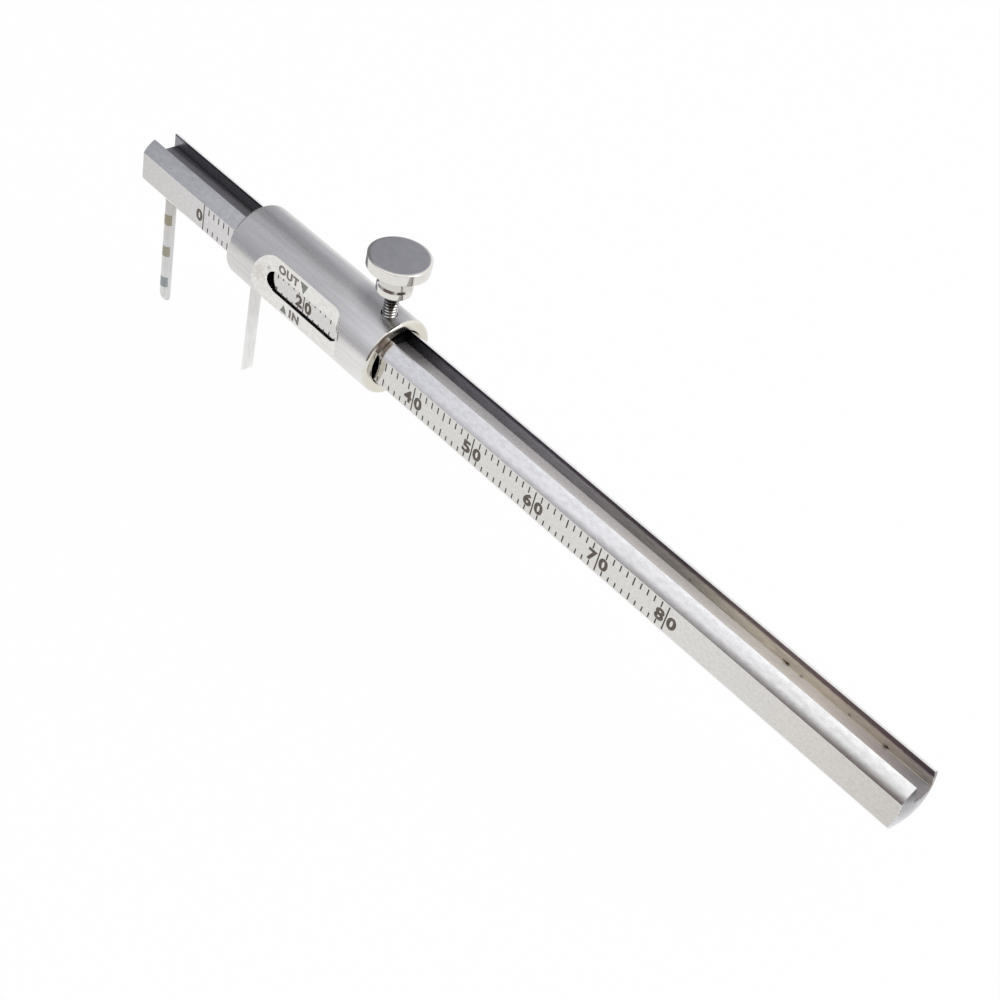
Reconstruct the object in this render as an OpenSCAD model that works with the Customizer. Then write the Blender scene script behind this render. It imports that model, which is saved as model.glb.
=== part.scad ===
// Slide gauge on a round bar: two pin jaws, a sleeve with a reading window, and a thumb screw.
// The origin is the centre of the bar's head end. X runs along the bar towards its tail,
// -Y is the side that carries the scale, and Z is up, towards the thumb screw.

/* [Bar] */
// Diameter of the round bar
bar_d = 7.5; // [7:0.1:9]
// Length of the bar, over its crowned tail
bar_len = 124; // [115:0.5:160]
// Rise of the crown on the bar's tail
tail_crown = 0.7; // [0.1:0.05:1]
// Diameter of the flat in the middle of that crown
crown_flat = 2.4; // [1:0.1:2.8]
// Depth of the flat that carries the scale
flat_depth = 0.5; // [0.35:0.05:0.7]
// Width of the slot along the top of the bar
slot_w = 3.2; // [2.8:0.1:3.6]
// Depth of the slot below the top of the bar
slot_depth = 2.3; // [2.1:0.05:2.6]
// Edge break on the bar's head end and along the mouth of its slot
bar_break = 0.12; // [0.05:0.01:0.25]

/* [Jaws] */
// Diameter of the two measuring pins
jaw_d = 1.5; // [1.3:0.1:2]
// Reach of the pins below the bar's axis
jaw_reach = 21.4; // [14:0.1:30]
// Distance from the bar's head end to the fixed pin's axis
jaw_from_head = 2.2; // [1.5:0.1:4]
// Depth of the fixed pin's hole in the bar
jaw_seat = 3; // [2:0.1:4]
// Slant of the pins' cut tips, in degrees from square
tip_angle = 45; // [20:1:60]
// Diameter of the spigot that holds the moving pin in the sleeve
spigot_d = 1; // [0.7:0.05:1.1]
// Length of that spigot
spigot_len = 0.9; // [0.5:0.05:1]
// How far the moving pin stands ahead of the sleeve's end
jaw_lead = 0.05; // [0.02:0.01:0.1]
// Size over the outer sides of the two pins, as they stand
outside_size = 20; // [5:0.5:80]

/* [Sleeve] */
// Thickness of the sleeve's wall
sleeve_wall = 1.28; // [1.2:0.02:2]
// Length of the sleeve
sleeve_len = 26.5; // [25:0.1:40]
// Radial clearance between the bar and the sleeve
slide_clear = 0.07; // [0.03:0.01:0.1]
// Rounding round the outside of the sleeve's ends
sleeve_round = 0.35; // [0.1:0.05:0.5]
// Chamfer at the ends of the sleeve's bore
bore_chamfer = 0.15; // [0.1:0.05:0.3]

/* [Reading window] */
// Height of the window where the milled trough breaks into the bore
window_h = 2.8; // [2:0.1:3.4]
// Radius of the cutter that milled the trough
cutter_r = 3.5; // [2.5:0.1:5]
// Length of the trough's flat floor
trough_run = 10.5; // [7:0.1:13]
// Distance from the sleeve's jaw end to the middle of the trough
trough_from_end = 13.2; // [11:0.1:15]

/* [Guide key] */
// Length of the key that keeps the sleeve from turning
key_len = 8; // [5:0.5:10]
// Distance from the sleeve's jaw end to the key
key_from_end = 3; // [2:0.1:5]
// Depth of the key's seat in the sleeve's wall
key_seat = 0.35; // [0.2:0.05:0.6]
// Side clearance of the key and of the shoe in the bar's slot
key_clear = 0.06; // [0.03:0.01:0.1]
// Gap between the key and the floor of the slot
key_gap = 0.3; // [0.2:0.05:0.5]

/* [Thumb screw] */
// Diameter over the screw's thread
screw_d = 1.8; // [1.6:0.05:2.2]
// Radial clearance of the thread in the sleeve's hole
thread_clear = 0.09; // [0.03:0.01:0.1]
// Edge break at the mouth of that hole
hole_break = 0.08; // [0.04:0.01:0.2]
// Distance from the sleeve's plain end to the screw's axis
screw_from_end = 2.55; // [2.2:0.05:6]
// Length of thread that shows between the sleeve and the knob
screw_stand = 3.24; // [2:0.02:6]
// Depth of the screw's seat in the knob
stud_seat = 3; // [2:0.1:3.4]
// Diameter of the screw's plain tip
tip_d = 1.2; // [0.8:0.05:1.4]
// Depth of the tip's socket in the clamp shoe
tip_seat = 0.5; // [0.3:0.05:0.6]

/* [Knob] */
// Diameter of the knob's disc
disc_d = 7.65; // [6:0.05:10]
// Thickness of the disc
disc_t = 1.48; // [1:0.02:2]
// Width of the rounding round the top of the disc
rim_w = 0.5; // [0.2:0.05:0.8]
// Height of that rounding
rim_h = 0.14; // [0.1:0.02:0.5]
// Diameter of the neck where it meets the disc
neck_d = 3.2; // [2.8:0.05:4]
// Height of the tapered neck
neck_h = 2.52; // [1.5:0.02:4]
// Diameter of the collar below the neck
collar_d = 4.36; // [3.4:0.02:5]
// Height of the collar
collar_h = 0.96; // [0.6:0.02:1.6]
// Width of the bevel between the collar and the neck
bevel_w = 0.15; // [0.05:0.01:0.2]
// Height of that bevel
bevel_h = 0.3; // [0.1:0.02:0.5]
// Edge break round the foot of the collar
collar_break = 0.18; // [0.05:0.01:0.3]
// Edge break under the disc
knob_break = 0.08; // [0.04:0.01:0.15]

/* [Clamp shoe] */
// Length of the shoe that the screw presses into the slot
shoe_len = 4; // [3:0.1:5]
// Height of the shoe
shoe_h = 0.95; // [0.8:0.05:1.1]
// Gap below the shoe as the screw stands, half a turn open
shoe_gap = 0.2; // [0.1:0.05:0.4]

/* [Hidden] */
$fn = 96;

// Gap of a pressed or soldered seat, and the overrun of a cut past the face that it opens
seat_clear = 0.01;
overrun = 1;
rim_steps = 6;
round_steps = 4;
crown_steps = 8;

// Bar
bar_r = bar_d / 2;
flat_y = -(bar_r - flat_depth);
slot_floor = bar_r - slot_depth;
slot_mouth = sqrt(bar_r * bar_r - slot_w * slot_w / 4);

// Sleeve, which stands where the two pins show outside_size
bore_r = bar_r + slide_clear;
sleeve_r = bore_r + sleeve_wall;
moving_x = jaw_from_head + outside_size - jaw_d;
sleeve_x = moving_x - jaw_d / 2 + jaw_lead;
sleeve_end_x = sleeve_x + sleeve_len;
trough_x = sleeve_x + trough_from_end;
trough_y = -sqrt(bore_r * bore_r - window_h * window_h / 4);

// Screw, shoe and knob, from the slot's floor upwards
screw_x = sleeve_end_x - screw_from_end;
hole_r = screw_d / 2 + thread_clear;
shoe_z = slot_floor + shoe_gap;
shoe_top = shoe_z + shoe_h;
tip_z = shoe_top - tip_seat + seat_clear;
knob_z = sleeve_r + screw_stand;
disc_z = collar_h + neck_h;
knob_h = disc_z + disc_t;
slider_w = slot_w - 2 * key_clear;
key_z = slot_floor + key_gap;
key_top = bore_r + key_seat;

// A solid of revolution along X, from a profile given as [radius, distance along X]
module turned_along_x(profile) {
    rotate([0, 90, 0])
        rotate_extrude()
            polygon(profile);
}

// A straight shape along X, from a section given as [y, z]
module drawn_along_x(from, to, section) {
    translate([from, 0, 0])
        rotate([90, 0, 90])
            linear_extrude(height = to - from)
                polygon(section);
}

// A round pin that hangs from the height top down to jaw_reach, longest on its +X side
module cut_pin(top) {
    slope = tan(tip_angle);
    half = jaw_d / 2 + overrun;
    difference() {
        translate([0, 0, -jaw_reach])
            cylinder(d = jaw_d, h = jaw_reach + top);
        rotate([90, 0, 0])
            linear_extrude(height = 2 * half, center = true)
                polygon([
                    [half, -jaw_reach - overrun * slope],
                    [-half, -jaw_reach + (jaw_d + overrun) * slope],
                    [-half, -jaw_reach - overrun * slope]
                ]);
    }
}

// Round bar with the scale's flat in front and a slot along its top
module beam() {
    flat_r = crown_flat / 2;
    crown = [
        for (step = [0 : crown_steps])
            let (r = bar_r + (flat_r - bar_r) * step / crown_steps)
                [r, bar_len - tail_crown * (r * r - flat_r * flat_r) / (bar_r * bar_r - flat_r * flat_r)]
    ];
    color([0.80, 0.80, 0.79])
        difference() {
            turned_along_x(concat([
                [0, 0],
                [bar_r - bar_break, 0],
                [bar_r, bar_break]
            ], crown, [[0, bar_len]]));
            translate([-overrun, flat_y - bar_r, -bar_r])
                cube([bar_len + 2 * overrun, bar_r, bar_d]);
            drawn_along_x(-overrun, bar_len + overrun, [
                [-slot_w / 2, slot_floor],
                [slot_w / 2, slot_floor],
                [slot_w / 2, slot_mouth - bar_break],
                [slot_w / 2 + bar_break + overrun, slot_mouth + overrun],
                [-slot_w / 2 - bar_break - overrun, slot_mouth + overrun],
                [-slot_w / 2, slot_mouth - bar_break]
            ]);
            translate([jaw_from_head, 0, -bar_r - overrun])
                cylinder(d = jaw_d + 2 * seat_clear, h = jaw_seat + overrun);
        }
}

module fixed_jaw() {
    color([0.72, 0.71, 0.70])
        translate([jaw_from_head, 0, 0])
            cut_pin(jaw_seat - bar_r);
}

// The cutter's path across the front of the sleeve: a flat floor that runs out in a round at each end
module trough_cut() {
    path_y = trough_y - cutter_r;
    translate([trough_x - trough_run / 2, path_y - cutter_r, -sleeve_r])
        cube([trough_run, 2 * cutter_r, 2 * sleeve_r]);
    for (side = [-1, 1])
        translate([trough_x + side * trough_run / 2, path_y, -sleeve_r])
            cylinder(r = cutter_r, h = 2 * sleeve_r);
}

// Screw hole through the top of the sleeve, with its broken edge
module screw_hole() {
    translate([screw_x, 0, 0]) {
        cylinder(r = hole_r, h = sleeve_r + overrun);
        translate([0, 0, sleeve_r - 2 * hole_break])
            cylinder(r1 = hole_r, r2 = hole_r + hole_break + overrun, h = 2 * (hole_break + overrun));
    }
}

// Sleeve that slides on the bar: the window is where the trough breaks into the bore
module sleeve() {
    near_round = [
        for (step = [0 : round_steps])
            let (turn = 90 * step / round_steps)
                [sleeve_r - sleeve_round * (1 - sin(turn)), sleeve_round * (1 - cos(turn))]
    ];
    far_round = [
        for (step = [0 : round_steps])
            let (turn = 90 * step / round_steps)
                [sleeve_r - sleeve_round * (1 - cos(turn)), sleeve_len - sleeve_round * (1 - sin(turn))]
    ];
    color([0.66, 0.66, 0.68])
        difference() {
            translate([sleeve_x, 0, 0])
                turned_along_x(concat([[bore_r + bore_chamfer, 0]], near_round, far_round, [
                    [bore_r + bore_chamfer, sleeve_len],
                    [bore_r, sleeve_len - bore_chamfer],
                    [bore_r, bore_chamfer]
                ]));
            trough_cut();
            screw_hole();
            translate([sleeve_x + key_from_end - seat_clear, -slider_w / 2 - seat_clear, 0])
                cube([key_len + 2 * seat_clear, slider_w + 2 * seat_clear, key_top]);
            translate([moving_x, 0, -sleeve_r - overrun])
                cylinder(d = spigot_d + 2 * seat_clear, h = spigot_len + overrun);
        }
}

// Pin that is coped to the underside of the sleeve and held there by its spigot
module moving_jaw() {
    color([0.72, 0.71, 0.70])
        union() {
            difference() {
                translate([moving_x, 0, 0])
                    mirror([1, 0, 0])
                        cut_pin(-bore_r);
                translate([sleeve_x - overrun, 0, 0])
                    rotate([0, 90, 0])
                        cylinder(r = sleeve_r + seat_clear, h = sleeve_len);
            }
            translate([moving_x, 0, -sleeve_r - jaw_d / 2])
                cylinder(d = spigot_d, h = spigot_len + jaw_d / 2);
        }
}

module guide_key() {
    color([0.55, 0.55, 0.57])
        translate([sleeve_x + key_from_end, -slider_w / 2, key_z])
            cube([key_len, slider_w, key_top - key_z]);
}

module clamp_shoe() {
    color([0.30, 0.30, 0.31])
        difference() {
            translate([screw_x - shoe_len / 2, -slider_w / 2, shoe_z])
                cube([shoe_len, slider_w, shoe_h]);
            translate([screw_x, 0, shoe_top - tip_seat])
                cylinder(d = tip_d + 2 * key_clear, h = tip_seat + overrun);
        }
}

module screw_stud() {
    color([0.60, 0.60, 0.60])
        translate([screw_x, 0, 0]) {
            translate([0, 0, tip_z])
                cylinder(d = tip_d, h = tip_seat + key_clear);
            translate([0, 0, shoe_top + key_clear])
                cylinder(d = screw_d, h = knob_z + stud_seat - shoe_top - key_clear);
        }
}

// Turned knob: a bevelled collar, a neck that tapers up from it, and a disc with a rounded top edge
module thumb_knob() {
    disc_r = disc_d / 2;
    rim = [
        for (step = [0 : rim_steps])
            let (turn = 90 * step / rim_steps)
                [disc_r - rim_w * (1 - cos(turn)), knob_h - rim_h * (1 - sin(turn))]
    ];
    color([0.85, 0.84, 0.82])
        translate([screw_x, 0, knob_z])
            difference() {
                rotate_extrude()
                    polygon(concat([
                        [0, 0],
                        [collar_d / 2 - collar_break, 0],
                        [collar_d / 2, collar_break],
                        [collar_d / 2, collar_h],
                        [collar_d / 2 - bevel_w, collar_h + bevel_h],
                        [neck_d / 2, disc_z],
                        [disc_r - knob_break, disc_z],
                        [disc_r, disc_z + knob_break]
                    ], rim, [[0, knob_h]]));
                translate([0, 0, -overrun])
                    cylinder(d = screw_d + 2 * seat_clear, h = stud_seat + overrun);
            }
}

beam();
fixed_jaw();
sleeve();
moving_jaw();
guide_key();
clamp_shoe();
screw_stud();
thumb_knob();
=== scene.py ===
import math
import bpy
from mathutils import Euler, Matrix, Vector


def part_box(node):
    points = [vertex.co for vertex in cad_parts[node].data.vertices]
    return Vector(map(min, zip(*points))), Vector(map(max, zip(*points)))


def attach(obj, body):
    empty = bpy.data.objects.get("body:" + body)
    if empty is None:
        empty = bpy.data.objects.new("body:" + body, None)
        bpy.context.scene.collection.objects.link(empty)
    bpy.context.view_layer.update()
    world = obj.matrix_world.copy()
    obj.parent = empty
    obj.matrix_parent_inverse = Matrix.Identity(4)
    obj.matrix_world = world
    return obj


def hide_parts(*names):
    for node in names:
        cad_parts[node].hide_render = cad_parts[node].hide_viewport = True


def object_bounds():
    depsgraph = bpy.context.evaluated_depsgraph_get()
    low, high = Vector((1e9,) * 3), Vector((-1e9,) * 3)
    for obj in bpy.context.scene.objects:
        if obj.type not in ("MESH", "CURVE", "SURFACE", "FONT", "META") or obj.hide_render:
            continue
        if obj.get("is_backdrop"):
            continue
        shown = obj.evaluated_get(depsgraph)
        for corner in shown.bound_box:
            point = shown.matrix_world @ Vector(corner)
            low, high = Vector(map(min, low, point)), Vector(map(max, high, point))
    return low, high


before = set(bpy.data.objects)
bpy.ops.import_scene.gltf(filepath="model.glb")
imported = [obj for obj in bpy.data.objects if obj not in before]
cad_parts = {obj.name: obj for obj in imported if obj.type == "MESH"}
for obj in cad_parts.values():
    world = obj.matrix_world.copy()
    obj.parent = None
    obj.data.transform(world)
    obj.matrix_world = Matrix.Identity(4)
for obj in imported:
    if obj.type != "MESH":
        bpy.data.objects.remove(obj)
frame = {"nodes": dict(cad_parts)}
cadBox = [list(corner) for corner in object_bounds()]
mm = 0.001
weldReach = 0.0001 * mm
scene = bpy.context.scene
scene.view_settings.view_transform = "Standard"
print("frame loaded:", ", ".join(frame["nodes"]))


# how squarely a face looks along a direction

square = 0.99
mostly = 0.9
partly = 0.5
barely = 0.02


# helpers for the work in object and edit mode

def makeActive(piece):
    if bpy.context.object and bpy.context.object.mode != "OBJECT":
        bpy.ops.object.mode_set(mode="OBJECT")
    bpy.ops.object.select_all(action="DESELECT")
    piece.select_set(True)
    bpy.context.view_layer.objects.active = piece


def nameNew(name):
    piece = bpy.context.object
    piece.name = name
    piece.data.name = name
    return piece


def settle(piece):  # puts the piece's place into its mesh
    makeActive(piece)
    bpy.ops.object.transform_apply(location=True, rotation=True, scale=True)


def addBlock(name, low, high):
    low, high = Vector(low), Vector(high)
    bpy.ops.object.select_all(action="DESELECT")
    bpy.ops.mesh.primitive_cube_add(size=1, location=(low + high) / 2, scale=high - low)
    piece = nameNew(name)
    settle(piece)
    return piece


def addRound(name, sides, radius, start, end):  # a round bar from one point to another
    start, end = Vector(start), Vector(end)
    along = end - start
    bpy.ops.object.select_all(action="DESELECT")
    bpy.ops.mesh.primitive_cylinder_add(
        vertices=sides, radius=radius, depth=along.length,
        location=(start + end) / 2, rotation=along.to_track_quat("Z", "Y").to_euler())
    piece = nameNew(name)
    settle(piece)
    return piece


def closeUp(piece, reach):  # merges doubled points and turns the faces outwards
    makeActive(piece)
    bpy.ops.object.mode_set(mode="EDIT")
    bpy.ops.mesh.select_all(action="SELECT")
    bpy.ops.mesh.remove_doubles(threshold=reach)
    bpy.ops.mesh.normals_make_consistent(inside=False)
    bpy.ops.object.mode_set(mode="OBJECT")


def turnOutline(name, sides, outline, hollow=False):  # along Z, one extrusion for each (radius, height)
    radius, height = outline[0]
    bpy.ops.object.select_all(action="DESELECT")
    bpy.ops.mesh.primitive_circle_add(
        vertices=sides, radius=radius, fill_type="NOTHING" if hollow else "NGON", location=(0, 0, height))
    piece = nameNew(name)
    settle(piece)
    bpy.ops.object.mode_set(mode="EDIT")
    bpy.ops.mesh.select_mode(type="EDGE" if hollow else "FACE")
    bpy.ops.mesh.select_all(action="SELECT")
    steps = outline[1:] + outline[:1] if hollow else outline[1:]
    for newRadius, newHeight in steps:
        bpy.ops.mesh.extrude_region_move(TRANSFORM_OT_translate={"value": (0, 0, newHeight - height)})
        size = newRadius / radius
        bpy.ops.transform.resize(value=(size, size, 1), center_override=(0, 0, newHeight))
        radius, height = newRadius, newHeight
    closeUp(piece, weldReach)
    return piece


def quarterRound(width, height, steps):  # from the side of an edge to its top, as (inset, rise)
    turns = [math.radians(90 * step / steps) for step in range(steps + 1)]
    return [(width * (1 - math.cos(turn)), height * math.sin(turn)) for turn in turns]


def startPicking(piece, kind):
    makeActive(piece)
    bpy.ops.object.mode_set(mode="EDIT")
    bpy.ops.mesh.select_mode(type=kind)
    bpy.ops.mesh.select_all(action="DESELECT")
    bpy.ops.object.mode_set(mode="OBJECT")


def pickFaces(piece, test):
    startPicking(piece, "FACE")
    for face in piece.data.polygons:
        face.select = bool(test(face))
    bpy.ops.object.mode_set(mode="EDIT")


def pickPoints(piece, test):
    startPicking(piece, "VERT")
    for point in piece.data.vertices:
        point.select = bool(test(point.co))
    bpy.ops.object.mode_set(mode="EDIT")


def pickEdges(piece, test):
    startPicking(piece, "EDGE")
    points = piece.data.vertices
    for edge in piece.data.edges:
        first, second = edge.vertices
        edge.select = bool(test(points[first].co, points[second].co))
    bpy.ops.object.mode_set(mode="EDIT")


def sliceOff(piece, point, outward):  # cuts with a plane and caps the cut
    makeActive(piece)
    bpy.ops.object.mode_set(mode="EDIT")
    bpy.ops.mesh.select_all(action="SELECT")
    bpy.ops.mesh.bisect(
        plane_co=point, plane_no=outward, use_fill=True, clear_outer=True, threshold=weldReach)
    bpy.ops.object.mode_set(mode="OBJECT")


def cutAway(piece, cutter):
    makeActive(piece)
    cut = piece.modifiers.new("cut", "BOOLEAN")
    cut.operation = "DIFFERENCE"
    cut.solver = "EXACT"
    cut.object = cutter
    bpy.ops.object.modifier_apply(modifier=cut.name)
    bpy.data.objects.remove(cutter, do_unlink=True)


def breakEdges(piece, look):
    makeActive(piece)
    edge = piece.modifiers.new("edge break", "BEVEL")
    edge.width = look["edgeBreak"]
    edge.segments = look["breakSteps"]
    edge.limit_method = "ANGLE"
    edge.angle_limit = math.radians(look["breakAngle"])
    edge.use_clamp_overlap = False
    bpy.ops.object.modifier_apply(modifier=edge.name)


def repeatAlong(piece, count, step):
    makeActive(piece)
    row = piece.modifiers.new("row", "ARRAY")
    row.count = count
    row.use_relative_offset = False
    row.use_constant_offset = True
    row.constant_offset_displace = step
    bpy.ops.object.modifier_apply(modifier=row.name)


def smoothOver(piece, angle):
    makeActive(piece)
    bpy.ops.object.shade_smooth_by_angle(angle=math.radians(angle))
    even = piece.modifiers.new("even", "WEIGHTED_NORMAL")
    even.keep_sharp = True
    bpy.ops.object.modifier_apply(modifier=even.name)


def joinUp(name, parts):
    makeActive(parts[0])
    for part in parts:
        part.select_set(True)
    bpy.ops.object.join()
    return nameNew(name)


def paintFaces(piece, finishes, choose):
    piece.data.materials.clear()
    names = list(finishes)
    for finish in finishes.values():
        piece.data.materials.append(finish)
    for face in piece.data.polygons:
        face.material_index = names.index(choose(face))


# steel finishes

finishLook = {
    "noiseDetail": 4.0,
    "noiseSpan": (0.3, 0.7),  # where most of a noise lies
    "cloudSpan": (0.35, 0.62),
    "spotSpan": (0.4, 1.0),  # from the full spot to none, in sizes of the spot
}


def newFinish(name):
    finish = bpy.data.materials.new(name)
    finish.use_nodes = True
    return finish, finish.node_tree, finish.node_tree.nodes["Principled BSDF"]


def placed(tree, size, centre=(0, 0, 0)):  # the piece's own coordinates, measured in sizes from a centre
    place = tree.nodes.new("ShaderNodeTexCoord")
    stretch = tree.nodes.new("ShaderNodeMapping")
    stretch.inputs["Location"].default_value = [-middle / step for middle, step in zip(centre, size)]
    stretch.inputs["Scale"].default_value = [1 / step for step in size]
    tree.links.new(place.outputs["Object"], stretch.inputs["Vector"])
    return stretch.outputs["Vector"]


def grainNoise(tree, spacing):  # spacing is the size of the grain along X, Y and Z
    noise = tree.nodes.new("ShaderNodeTexNoise")
    noise.inputs["Scale"].default_value = 1.0
    noise.inputs["Detail"].default_value = finishLook["noiseDetail"]
    tree.links.new(placed(tree, spacing), noise.inputs["Vector"])
    return noise.outputs["Fac"]


def ramp(tree, source, stops):
    tone = tree.nodes.new("ShaderNodeValToRGB")
    marks = tone.color_ramp.elements
    while len(marks) < len(stops):
        marks.new(0.5)
    for mark, (place, colour) in zip(marks, stops):
        mark.position = place
        mark.color = (*colour, 1.0)
    tree.links.new(source, tone.inputs["Fac"])
    return tone.outputs["Color"]


def spread(tree, source, low, high, span=finishLook["noiseSpan"]):  # goes from low to high over the span
    reach = tree.nodes.new("ShaderNodeMapRange")
    reach.inputs["From Min"].default_value = span[0]
    reach.inputs["From Max"].default_value = span[1]
    reach.inputs["To Min"].default_value = low
    reach.inputs["To Max"].default_value = high
    tree.links.new(source, reach.inputs["Value"])
    return reach.outputs["Result"]


def combine(tree, operation, first, second):
    both = tree.nodes.new("ShaderNodeMath")
    both.operation = operation
    tree.links.new(first, both.inputs[0])
    tree.links.new(second, both.inputs[1])
    return both.outputs[0]


def dimmed(tree, colour, level):
    scale = tree.nodes.new("ShaderNodeVectorMath")
    scale.operation = "SCALE"
    tree.links.new(colour, scale.inputs[0])
    tree.links.new(level, scale.inputs["Scale"])
    return scale.outputs["Vector"]


def distanceFrom(tree, size, centre):  # in sizes from the centre
    reach = tree.nodes.new("ShaderNodeVectorMath")
    reach.operation = "LENGTH"
    tree.links.new(placed(tree, size, centre), reach.inputs[0])
    return reach.outputs["Value"]


def distanceAlong(tree, source, way):
    along = tree.nodes.new("ShaderNodeVectorMath")
    along.operation = "DOT_PRODUCT"
    along.inputs[1].default_value = way
    tree.links.new(source, along.inputs[0])
    return along.outputs["Value"]


def stained(tree, colour, spot):  # a spot of dirt, or a painted shadow, with an edge that is ragged by a share of its size
    edge = spread(tree, grainNoise(tree, spot["grain"]), -spot["ragged"], spot["ragged"])
    distance = combine(tree, "ADD", distanceFrom(tree, spot["size"], spot["place"]), edge)
    amount = spread(tree, distance, spot["strength"], 0.0, finishLook["spotSpan"])
    mix = tree.nodes.new("ShaderNodeMix")
    mix.data_type = "RGBA"
    mix.inputs["B"].default_value = (*spot["colour"], 1.0)
    tree.links.new(amount, mix.inputs["Factor"])
    tree.links.new(colour, mix.inputs["A"])
    return mix.outputs["Result"]


def relief(tree, source, shader, depth):
    bump = tree.nodes.new("ShaderNodeBump")
    bump.inputs["Strength"].default_value = 1.0
    bump.inputs["Distance"].default_value = depth
    tree.links.new(source, bump.inputs["Height"])
    tree.links.new(bump.outputs["Normal"], shader.inputs["Normal"])


def shadedAlong(tree, shade):  # tones at distances along a direction, with a ragged edge if asked; painted light and shade on the steel, and the pin bands' print
    place = tree.nodes.new("ShaderNodeTexCoord")
    distance = distanceAlong(tree, place.outputs["Object"], shade["way"])
    if "ragged" in shade:
        edge = spread(tree, grainNoise(tree, shade["ragged"]), -shade["reach"], shade["reach"])
        distance = combine(tree, "ADD", distance, edge)
    first, last = shade["stops"][0][0], shade["stops"][-1][0]
    share = spread(tree, distance, 0.0, 1.0, (first, last))
    return ramp(tree, share, [((stop - first) / (last - first), colour) for stop, colour in shade["stops"]])


def tinted(tree, colour, tint):
    both = tree.nodes.new("ShaderNodeVectorMath")
    both.operation = "MULTIPLY"
    tree.links.new(colour, both.inputs[0])
    tree.links.new(tint, both.inputs[1])
    return both.outputs["Vector"]


def brushedSteel(name, look):
    finish, tree, shader = newFinish(name)
    shader.inputs["Metallic"].default_value = look.get("metal", 1.0)
    cloud = grainNoise(tree, look["cloud"])
    grain = grainNoise(tree, look["grain"])
    dark = [channel * (1 - look["mottle"]) for channel in look["colour"]]
    colour = ramp(tree, cloud, list(zip(finishLook["cloudSpan"], (dark, look["colour"]))))
    # painted light and shade along a direction
    for shade in look.get("shades", ()):
        colour = tinted(tree, colour, shadedAlong(tree, shade))
    colour = dimmed(tree, colour, spread(tree, grain, 1 - look["fleck"], 1.0))
    # spots of real dirt, and spots of painted shadow
    for spot in look.get("dirtAndShadeSpots", ()):
        colour = stained(tree, colour, spot)
    tree.links.new(colour, shader.inputs["Base Color"])
    tree.links.new(spread(tree, grain, *look["roughness"]), shader.inputs["Roughness"])
    relief(tree, grain, shader, look["depth"])
    return finish


def paintSteel(piece, label, look, parts, choose):
    finishes = {part: brushedSteel(label + " " + part, look[part]) for part in parts}
    paintFaces(piece, finishes, choose)


# bar: round, with the scale's flat in front and a slot along its top

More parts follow.
